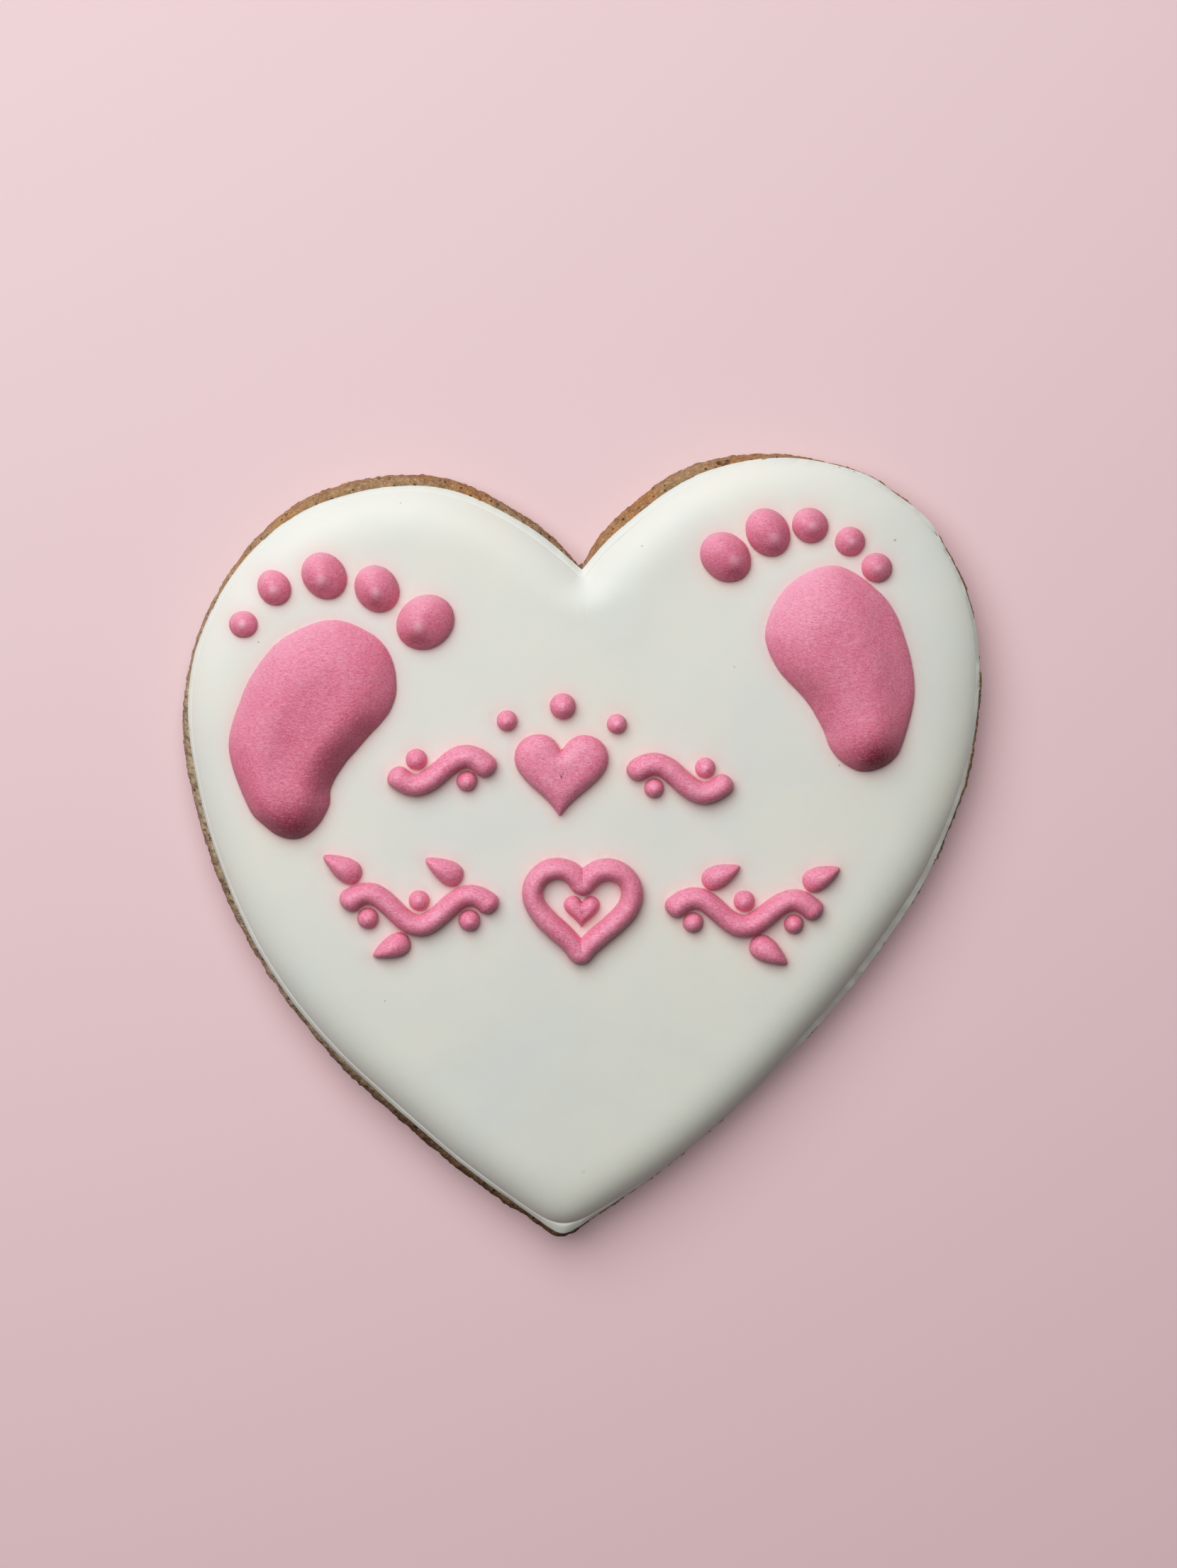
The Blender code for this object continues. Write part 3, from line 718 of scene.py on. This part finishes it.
soles = {
    "left": {
        "outline": [
            (-35.2, 31.7), (-41.2, 29.2), (-44.5, 25.6), (-46.9, 21.0), (-48.6, 13.8), (-45.9, 5.8),
            (-43.5, 3.1), (-41.2, 1.6), (-38.6, 1.5), (-36.3, 3.3), (-34.8, 6.0), (-34.5, 8.7),
            (-32.8, 11.8), (-29.9, 15.4), (-26.8, 19.2), (-25.9, 22.9), (-26.9, 27.2), (-29.9, 30.2),
        ],
        "middle": (-38.6, 15.9),
        "lean": (0.0, -1.0),  # the top lies this way off the outline
        "steeper": [(-43.0, 5.5, 6.5, 0.5), (-25.5, 24.0, 7.0, -0.2)],  # x, y, reach, share
        # painted shade on the heel and on slopes that face away from the light: x, y, reach, strength
        "paintedSlopeShade": [(-40.0, 3.4, 4.0, 0.8), (-34.0, 12.0, 5.5, 0.4), (-30.3, 17.0, 2.2, 0.3)],
        "paintedGlowRim": (0.15, 1.5),  # strength and reach of the painted glow on the far edge
        "relief": [           # x, y, reach along, reach across, turn, height
            (-43.5, 24.3, 6.0, 1.6, 55, 0.10), (-34.5, 15.8, 9.0, 2.2, 50, 0.16),
            (-40.5, 14.3, 8.0, 3.0, 70, -0.2), (-31.0, 28.3, 4.0, 1.6, -30, 0.07),
            (-39.5, 6.4, 4.2, 3.4, 0, 0.2),
        ],
    },
    "right": {
        "outline": [
            (33.6, 40.8), (27.5, 37.9), (24.6, 31.9), (26.2, 26.8), (30.6, 22.0), (32.9, 18.4),
            (34.2, 15.5), (36.1, 13.5), (38.9, 12.4), (42.2, 13.5), (44.2, 16.4), (45.5, 24.3),
            (43.3, 32.7), (39.7, 37.7),
        ],
        "middle": (36.6, 25.9),
        "lean": (0.5, -0.9),
        "steeper": [(39.5, 14.0, 5.0, 0.35), (46.5, 25.5, 8.0, -0.62), (43.5, 35.0, 6.0, -0.6)],
        # painted shade on the heel and on slopes that face away from the light
        "paintedSlopeShade": [(40.4, 14.3, 3.3, 1.0), (31.0, 24.0, 4.5, 0.2)],
        "paintedGlowRim": (1.0, 3.8),
        "relief": [
            (40.0, 34.9, 2.2, 0.7, -35, 0.08), (28.0, 34.3, 5.0, 2.0, 60, 0.10),
            (35.0, 24.8, 5.0, 3.0, 60, -0.12), (40.0, 17.6, 4.2, 3.4, 20, 0.45),
            (42.3, 26.3, 7.0, 1.8, 95, 0.08), (36.5, 31.1, 0.5, 0.4, 0, -0.08),
            (35.2, 32.3, 0.5, 0.3, 30, -0.06),
        ],
    },
    "steps": 384,
    "height": 3.45,
    "footDepth": 0.12,
    "footRise": 0.3,          # height at which the side is widest
    "side": (0.35, 0.3),      # height and width of the steep side over it
    "shoulder": 5.0,
    "flatness": 1.75,         # the more, the sooner the shoulder flattens
    "rounding": [(0.0, 0.0), (0.15, 0.0), (0.75, 0.6), (2.0, 1.2), (5.0, 2.2)],  # depth, reach
    "paintedHighlightRim": (0.5, 1.5),
}


pillowRows = {"under": (0.3, 0.6, 0.85), "shoulder": 40, "middle": 30, "innermost": 0.02}


def pillow(outline, middle, p, size=1.0, height=None, lean=(0, 0), steeper=()):
    # rings of a flooded shape, its underside first; its height goes by the depth in from the
    # outline, sooner where it is steeper, and its top leans over
    height = height or p["height"]
    reachAt, reaches = np.array(p["rounding"]).T * size
    sideRise, sideReach = np.array(p["side"]) * size
    widest, foot, shoulder = p["footRise"] * size, p["footDepth"] * size, p["shoulder"] * size
    middle = np.array(middle)

    def rounded(depth):
        return inset(outline, middle, depth, np.interp(depth, reachAt, reaches))

    def risen(flat):
        depth = softDepth(flat, outline, 3)
        for x, y, reach, share in steeper:
            depth = depth * (1 + share * nearTo(flat, (x, y), reach))
        side = sideRise * (1 - np.exp(-depth / sideReach))
        over = 1 - (1 - np.minimum(depth / shoulder, 1)) ** p["flatness"]
        up = side + (height - widest - sideRise) * over
        return atHeight(flat + np.outer((up / (height - widest)) ** 2, lean), widest + up)

    rings = [atHeight(middle + (outline - middle) * share) for share in pillowRows["under"]]
    for turn in np.radians([0, 30, 60]):  # from the foot out to the widest outline
        rings.append(atHeight(rounded(foot * (1 - math.sin(turn))), widest * (1 - math.cos(turn))))
    rings.append(atHeight(outline, widest))
    for share in 1 - np.cos(np.linspace(0, math.pi / 2, pillowRows["shoulder"]))[1:]:
        rings.append(risen(rounded(shoulder * share)))
    last = rounded(shoulder)
    for share in np.linspace(1, pillowRows["innermost"], pillowRows["middle"])[1:]:
        rings.append(risen(middle + (last - middle) * share))
    return np.array(rings)


def addRelief(rings, bumps, height):
    rise = np.clip(rings[:, :, 2] / height, 0, 1) ** 3
    for x, y, *oval, depth in bumps:
        along, across = inOval(rings[:, :, 0] - x, rings[:, :, 1] - y, *oval)
        rings[:, :, 2] += depth * np.exp(-(along ** 2 + across ** 2)) * rise
    return rings


def makeSoles(icingTop):
    for seed, side in enumerate(("left", "right"), 20):
        sole = soles[side]
        material = pinkFinish(side + "SoleSugar", pinkLook[side + "Sole"], 0.1)
        outline = evenSteps(smoothRun(sole["outline"], closed=True), soles["steps"])
        rings = pillow(outline, sole["middle"], soles, lean=sole["lean"], steeper=sole["steeper"])
        rings = addRelief(rings, sole["relief"], soles["height"])
        sugar = (material, "pink_icing", icingTop)
        piece = layDown(side + "Sole", "sole_" + side, rings, outline, sugar, seed)
        flat = spotsOf(piece)
        # painted shade on slopes that face away from the light
        addFloat(piece, "paintedSlopeShade", np.max([share * nearTo(flat, (x, y), reach)
                                          for x, y, reach, share in sole["paintedSlopeShade"]], axis=0))
        # painted highlight on the lit edge, painted glow on the far edge
        paintedHighlightRim, paintedGlowRim = rims(flat, outline, soles["paintedHighlightRim"], sole["paintedGlowRim"])
        addFloat(piece, "paintedHighlight", paintedHighlightRim)
        addFloat(piece, "paintedGlow", paintedGlowRim)


# Drops: toes, leaves and dots, piped with a flat foot and a peak that leans

drops = {
    "around": 112,
    "rows": 40,
    "footRise": 0.15,
    "footIn": 0.03,           # the foot is this share narrower
    "pointed": 0.10,          # share of the height that rises as a cone, not as a ball
}


def drop(place, size, turn, peak=(0, 0), taper=0.0, pointed=None, sloped=1.0):
    length, width, height = size
    pointed = drops["pointed"] if pointed is None else pointed
    way = np.linspace(0, 2 * math.pi, drops["around"], endpoint=False)
    cos, sin = turnTo(turn)

    def ring(reach, rise, lean):
        u, v = reach * np.cos(way), reach * np.sin(way)
        along = u * length / 2
        across = v * width / 2 * (1 - taper * u)
        return atHeight(np.column_stack([
            place[0] + along * cos - across * sin + peak[0] * lean,
            place[1] + along * sin + across * cos + peak[1] * lean]), rise)

    foot = drops["footRise"]
    rings = [ring(reach, 0.0, 0.0) for reach in (0.3, 0.6, 1 - drops["footIn"])]
    for turnUp in np.radians([30, 60]):
        rings.append(ring(1 - drops["footIn"] * (1 - math.sin(turnUp)),
                          foot * (1 - math.cos(turnUp)), 0.0))
    for lift in np.linspace(0, math.pi / 2, drops["rows"] + 1)[:-1]:
        reach, ball = math.cos(lift), math.sin(lift)
        cone = 1 - math.sqrt(reach * reach + 0.01) + 0.1
        rise = (1 - pointed) * ball ** sloped + pointed * min(cone, 1.0)
        rings.append(ring(reach, foot + (height - foot) * rise, ball ** 3))
    return np.array(rings)


def makeDrop(name, node, rings, sugar, seed):
    return layDown(name, node, rings, rings[5, :, :2], sugar, seed)


toes = {                      # x, y, length, width, turn, height, peak's place, painted shade under it
    "left": [
        (-22.1, 31.7, 8.2, 7.2, 35, 2.9, (-0.9, -0.5), 0.5),
        (-28.8, 36.1, 6.7, 5.8, -55, 2.6, (-0.1, -0.4), 0.4),
        (-36.0, 37.7, 6.7, 5.8, -50, 2.5, (-0.3, -0.4), 0.2),
        (-42.8, 35.9, 5.0, 4.4, -55, 2.0, (0.0, -0.3), 0.2),
        (-46.9, 30.8, 3.9, 3.6, 0, 1.7, (0.0, 0.0), 0.15),
    ],
    "right": [
        (18.8, 41.6, 7.5, 6.3, -40, 2.7, (1.2, -0.4), 0.5),
        (24.5, 45.1, 6.9, 5.8, -55, 2.6, (0.9, -0.7), 0.4),
        (30.3, 46.2, 5.1, 4.7, -30, 2.2, (0.3, 0.0), 0.25),
        (35.9, 44.1, 4.2, 4.0, 0, 1.9, (0.2, 0.0), 0.15),
        (39.7, 40.6, 4.3, 4.0, -20, 1.9, (0.3, 0.0), 0.2),
    ],
    "pointed": 0.05,
    "sloped": 1.15,           # more than 1 for a rim that slopes
    "lean": (-0.08, 0.09),    # the way the top lies off the foot, by length
    "glow": (0.35, 1.2),
    "nub": (0.1, 0.17),       # height and reach of the peak, as shares
    "paintedHighlight": (0.65, 0.7),       # strength and reach of each peak's painted highlight
    "paintedHighlightRim": (0.45, 0.9),
    "paintedGlowRim": (1.0, 2.2),    # of the painted glow on the side away from the light
    "shadeCrescent": (0.22, 0.2, 0.12),  # painted shade: way under the peak, two reaches, by length
}


def makeToes(icingTop):
    for side, firstSeed in (("left", 30), ("right", 40)):
        material = pinkFinish(side + "ToeSugar", pinkLook[side + "Toes"], 0.1, toes["glow"])
        for number, row in enumerate(toes[side], 1):
            x, y, length, width, turn, height, peak, shadeCrescent = row
            lean = [share * length for share in toes["lean"]]
            rings = drop((x, y), (length, width, height), turn, lean,
                         pointed=toes["pointed"], sloped=toes["sloped"])
            rise, spread = toes["nub"][0] * height, toes["nub"][1] * length
            off = ((rings[:, :, :2] - (x + peak[0], y + peak[1])) ** 2).sum(axis=2)
            rings[:, :, 2] += rise * np.exp(-off / spread ** 2) * (rings[:, :, 2] / height)
            toe = makeDrop(f"{side}Toe{number}", f"toe_{side}_{number}", rings,
                           (material, "pink_icing", icingTop), firstSeed + number)
            flat = spotsOf(toe)
            # painted highlight at the peak and along the lit edge
            strength, reach = toes["paintedHighlight"]
            paintedHighlight = strength * nearTo(flat, (x + peak[0], y + peak[1]), reach)
            paintedHighlightRim, paintedGlowRim = rims(flat, pinkOutlines[-1], toes["paintedHighlightRim"], toes["paintedGlowRim"])
            addFloat(toe, "paintedHighlight", np.maximum(paintedHighlight, paintedHighlightRim))
            addFloat(toe, "paintedGlow", paintedGlowRim)
            # painted shade in a crescent under each toe's peak
            under, across, along = (share * length for share in toes["shadeCrescent"])
            off = flat[:, :2] - (x + peak[0], y + peak[1] - under)
            addFloat(toe, "paintedSlopeShade", shadeCrescent * np.exp(-((off / (across, along)) ** 2).sum(axis=1)))


# Piped garland: lines, hearts, leaves, beads and dots in two rows

garland = {
    "upperRow": (-3.0, 11.1),
    "lowerRow": (0.4, -7.9),
    "lineWidth": 3.0,
    "lineHeight": 2.5,
    "footRise": 0.35,
    "footIn": 0.04,
    "step": 0.16,
    "aroundTop": 26,
    "blob": 0.16,             # how much wider a line is at its ends
    "endPower": 0.8,          # less than 1 keeps it high up to its ends
    "swells": [(3.2, 0.045), (1.1, 0.02)],  # size, share of the line's
    "lineSteps": 400,
    "wave": {"near": 9.4, "far": 23.4, "turns": 1.0, "height": (2.05, 1.95), "sway": (0.3, -0.2)},
    "vine": {"near": 12.0, "far": 33.0, "turns": 1.5, "height": (2.1, 2.0), "sway": (-0.3, 0.4)},
    "puffyWidth": 13.0,
    "innerWidth": 5.0,
    "lineHeartWidth": 14.0,
    "heartSteps": 260,
    "leaves": [               # length, width, turn; three on each vine
        (5.8, 3.1, 30), (5.5, 3.0, 26), (5.9, 3.1, 31), (5.6, 3.0, 27), (6.0, 3.2, 32), (5.5, 3.0, 28),
    ],
    "leafHeight": 2.2,
    "leafTaper": 0.5,
    "leafOff": (1.2, 0.5),    # where a leaf starts, past and over a crest
    "beads": [2.8, 2.9, 2.7, 2.8, 3.0, 2.8, 2.9, 2.8, 2.9, 2.7],  # widths: waves, then vines
    "beadOff": 0.55,
    "dots": [(0.0, 9.5, 3.5), (-7.6, 7.3, 2.8), (7.5, 7.2, 2.7)],  # out, up, width
    "dotHeight": 0.62,
    "dotUp": 0.3,
    "flow": (0.6, 0.9),       # rounding of the puffy and of the lined heart
    "pillow": {
        "height": 2.4, "footDepth": 0.22, "footRise": 0.5, "side": (0.6, 0.2),
        "shoulder": 2.4, "flatness": 2.2,
        "rounding": [(0.0, 0.55), (0.2, 0.7), (0.7, 0.9), (1.5, 1.1), (2.2, 1.2)],
    },
}


def smallHeart(width, steps):
    # outline of a small heart about the origin, anticlockwise from its notch
    turn = np.linspace(0, 2 * math.pi, 720)
    x = -np.sin(turn) ** 3
    y = (13 * np.cos(turn) - 5 * np.cos(2 * turn) - 2 * np.cos(3 * turn) - np.cos(4 * turn)) / 16
    return evenSteps(np.column_stack([x, y + 0.12]) * width / 2, steps)


def wavePlace(shape, row, side, share):
    # where a waving line is at a share of its length on one side of a row's middle
    hand = 0 if side < 0 else 1
    out = shape["near"] + (shape["far"] - shape["near"]) * share
    up = shape["height"][hand] * np.sin(2 * math.pi * shape["turns"] * share)
    up += shape["sway"][hand] * np.sin(math.pi * share)
    return row[0] + side * out, row[1] + up


def crests(shape, row):
    # side, way up and place of each crest and dip of a row's two lines
    count = round(2 * shape["turns"])
    for side in (-1, 1):
        for i in range(count):
            yield side, 1 - 2 * (i % 2), wavePlace(shape, row, side, (i + 0.5) / count)


def pipedSection(halfWidth, height):
    # points across a piped line, from one foot over the top to the other
    foot = min(garland["footRise"], 0.5 * height)
    inner = 1 - garland["footIn"]
    turns = np.linspace(0, math.pi, garland["aroundTop"])
    across = [inner, 0.98, *np.cos(turns), -0.98, -inner]
    up = [0.0, foot * 0.4, *(foot + (height - foot) * np.sin(turns) ** 0.96), foot * 0.4, 0.0]
    return np.array(across) * halfWidth, np.array(up)


def sweep(line, halfWidths, heights, closed):
    # rings of a piped line along a middle line
    rings = []
    for spot, side, halfWidth, height in zip(line, outward(line, closed), halfWidths, heights):
        across, up = pipedSection(halfWidth, height)
        rings.append(np.column_stack([spot + np.outer(across, side), up]))
    return np.array(rings)


def makeLine(name, node, line, closed, sugar, seed):
    p = garland
    noise = unevenness(seed)
    full = p["lineWidth"] / 2
    way = wayAlong(line)
    count = int(way[-1] / p["step"])
    if closed:
        spots = evenSteps(line, count)
        halfWidths, ends = np.full(count, full), np.ones(count)
    else:
        middlePart = np.linspace(full, way[-1] - full, count)
        curl = full * (1 - np.cos(np.linspace(0.12, math.pi / 2, 14)))[:-1]
        places = np.concatenate([curl, middlePart, way[-1] - curl[::-1]])
        spots = readAlong(line, way, places)
        halfWidths = full * (1 + p["blob"] * np.abs(2 * places / way[-1] - 1) ** 6)
        fromEnd = np.minimum(places, way[-1] - places)
        ends = np.sqrt(1 - np.clip(1 - fromEnd / full, 0, 1) ** 2)
    swell = summed(noise, atHeight(spots), p["swells"], 90, 1)
    heights = p["lineHeight"] * swell * ends ** p["endPower"]
    rings = sweep(spots, halfWidths * swell * ends, heights, closed)
    outlines = np.vstack([rings[:, 2, :2], rings[:, -3, :2]])
    layDown(name, node, rings, outlines, sugar, seed + 1, closed)


def makeDot(node, place, width, sugar, seed):
    rings = drop(place, (width, width, width * garland["dotHeight"] + garland["dotUp"]), 0)
    makeDrop(node.replace("_", ""), node, rings, sugar, seed)


def makeLeaves(sugar):
    # a leaf past each crest and dip of the vines
    along, over = garland["leafOff"]
    vines = crests(garland["vine"], garland["lowerRow"])
    for i, ((side, way, (x, y)), leaf) in enumerate(zip(vines, garland["leaves"]), 1):
        length, width, degrees = leaf
        cos, sin = turnTo(degrees)
        place = (x + side * (along + length / 2 * cos),
                 y + way * (garland["lineWidth"] / 2 + over + length / 2 * sin))
        pointing = math.degrees(math.atan2(way * sin, side * cos))
        rings = drop(place, (length, width, garland["leafHeight"]), pointing,
                     taper=garland["leafTaper"], pointed=0.0)
        makeDrop(f"leaf{i}", f"leaf_{i}", rings, sugar, 80 + i)


def makeBeads(sugar):
    # a bead in each crest and dip of the waves, then of the vines
    hollows = [*crests(garland["wave"], garland["upperRow"]),
               *crests(garland["vine"], garland["lowerRow"])]
    for i, ((side, way, (x, y)), width) in enumerate(zip(hollows, garland["beads"]), 1):
        off = garland["lineWidth"] / 2 + garland["beadOff"] + width / 2
        makeDot(f"bead_{i}", (x, y - way * off), width, sugar, 100 + i)


def makeGarland(sugar):
    p = garland
    for side, word in ((-1, "left"), (1, "right")):
        for i, (name, row) in enumerate((("wave", "upperRow"), ("vine", "lowerRow"))):
            line = wavePlace(p[name], p[row], side, np.linspace(0, 1, p["lineSteps"]))
            makeLine(word + name.capitalize(), f"{name}_{word}", np.column_stack(line), False,
                     sugar, 60 + 4 * i + side)
    for name, node, width, row, seed in (
            ("puffyHeart", "heart_puffy", p["puffyWidth"], p["upperRow"], 70),
            ("innerHeart", "heart_inner", p["innerWidth"], p["lowerRow"], 71)):
        size = width / p["puffyWidth"]
        outline = soften(smallHeart(width, p["heartSteps"]), p["flow"][0] * size) + row
        height = p["pillow"]["height"] * max(size, 0.75)
        rings = pillow(outline, row, p["pillow"], size, height)
        layDown(name, node, rings, outline, sugar, seed)
    heartLine = soften(smallHeart(p["lineHeartWidth"], p["lineSteps"]), p["flow"][1])
    heartLine = np.vstack([heartLine, heartLine[:1]]) + p["lowerRow"]
    makeLine("lineHeart", "heart_line", heartLine, True, sugar, 76)
    makeLeaves(sugar)
    makeBeads(sugar)
    for i, (out, up, width) in enumerate(p["dots"], 1):
        place = (p["upperRow"][0] + out, p["upperRow"][1] + up)
        makeDot(f"dot_{i}", place, width, sugar, 90 + i)


def addBleedAndBounce(icing):
    # a float on the icing's points, strongest beside the pink sugar: its dye bleed and painted bounce
    # light
    _, away = nearestOn(np.vstack(pinkOutlines), spotsOf(icing))
    addFloat(icing, "bleedAndBounce", icingLook["bleedAndBounceMost"] * np.exp(-away / icingLook["bleedAndBounceReach"]))


dough = makeDough(doughFinish())
print("dough:", len(dough.data.polygons), "faces")
whiteIcing = makeIcing(icingFinish(), surfaceReader(dough, doughHeart["height"] - 0.5))
print("icing:", len(whiteIcing.data.polygons), "faces")
readIcing = surfaceReader(whiteIcing)
makeSoles(readIcing)
makeToes(readIcing)
print("footprints done")
piping = pinkFinish("pinkSugarPiping", pinkLook["piped"], 0.16)
makeGarland((piping, "piping_icing", readIcing))
addBleedAndBounce(whiteIcing)
print("garland done")


# Studio: a pale floor, a broad soft light and a camera almost overhead

studio = {
    "floorSize": 12000.0,
    "floorDrop": 0.05,        # just clear of the flat underside
    "floor": (214, 190, 193),
    "floorGlow": 0.3,         # keeps its shadows soft
    "key": {"from": (-0.29, 0.5, 0.816), "distance": 600.0, "size": 710.0, "power": 4.2},
    "world": ((238, 240, 242), 0.04),
    "target": (1.0, 9.5, 7.0),
    "distance": 513.0,
    "tilt": 8.0,              # degrees off straight down
    "lean": (-0.35, 0.937),   # the way the camera leans
    "roll": 1.6,
    "contrast": [(0.05, 0.027), (0.2, 0.14), (0.4, 0.35), (0.65, 0.65)],
    "lens": 85.0,
    "sensor": 36.0,
}


def makeStudio():
    half, low = studio["floorSize"] / 2 * mm, -studio["floorDrop"] * mm
    mesh = bpy.data.meshes.new("paleFloor")
    corners = [(x * half, y * half, low) for x, y in ((-1, -1), (1, -1), (1, 1), (-1, 1))]
    mesh.from_pydata(corners, [], [(0, 1, 2, 3)])
    material, tree, *_ = newMaterial("paleTable", studio)
    colour = tint(*studio["floor"])
    finishShader(tree, {"Base Color": colour, "Roughness": 0.7, "Specular IOR Level": 0.2,
                        "Emission Color": colour, "Emission Strength": studio["floorGlow"]})
    mesh.materials.append(material)
    floor = newObject("paleFloor", mesh)

    world = bpy.data.worlds.new("softRoom")
    bpy.context.scene.world = world
    world.use_nodes = True
    colour, strength = studio["world"]
    glow = world.node_tree.nodes["Background"].inputs
    glow[0].default_value, glow[1].default_value = tint(*colour), strength

    key = studio["key"]
    light = bpy.data.lights.new("softWindow", "AREA")
    light.shape = "DISK"
    light.size = key["size"] * mm
    light.energy = key["power"]
    lamp = newObject("softWindow", light)
    towards = Vector(key["from"]).normalized()
    lamp.location = towards * key["distance"] * mm
    lamp.rotation_euler = towards.to_track_quat("Z", "Y").to_euler()


def placeCamera():
    data = bpy.data.cameras.new("overheadCamera")
    data.lens = studio["lens"]
    data.sensor_width = studio["sensor"]
    camera = newObject("overheadCamera", data)
    tilt, roll = math.radians(studio["tilt"]), math.radians(studio["roll"])
    back = Vector((*studio["lean"], 0.0)).normalized() * math.sin(tilt)
    back.z = math.cos(tilt)
    right = Vector((-math.sin(roll), math.cos(roll), 0.0)).cross(back).normalized()
    place = Matrix((right, back.cross(right), back)).transposed().to_4x4()
    place.translation = (Vector(studio["target"]) + back * studio["distance"]) * mm
    camera.matrix_world = place
    bpy.context.scene.camera = camera


def setContrast():
    # a gentle camera curve over scene light, as the photograph has
    view = bpy.context.scene.view_settings
    view.view_transform = "Standard"
    view.use_curve_mapping = True
    curve = view.curve_mapping.curves[3]
    for light, shown in studio["contrast"]:
        curve.points.new(light, shown)
    view.curve_mapping.update()


makeStudio()
placeCamera()
setContrast()
print("studio done")
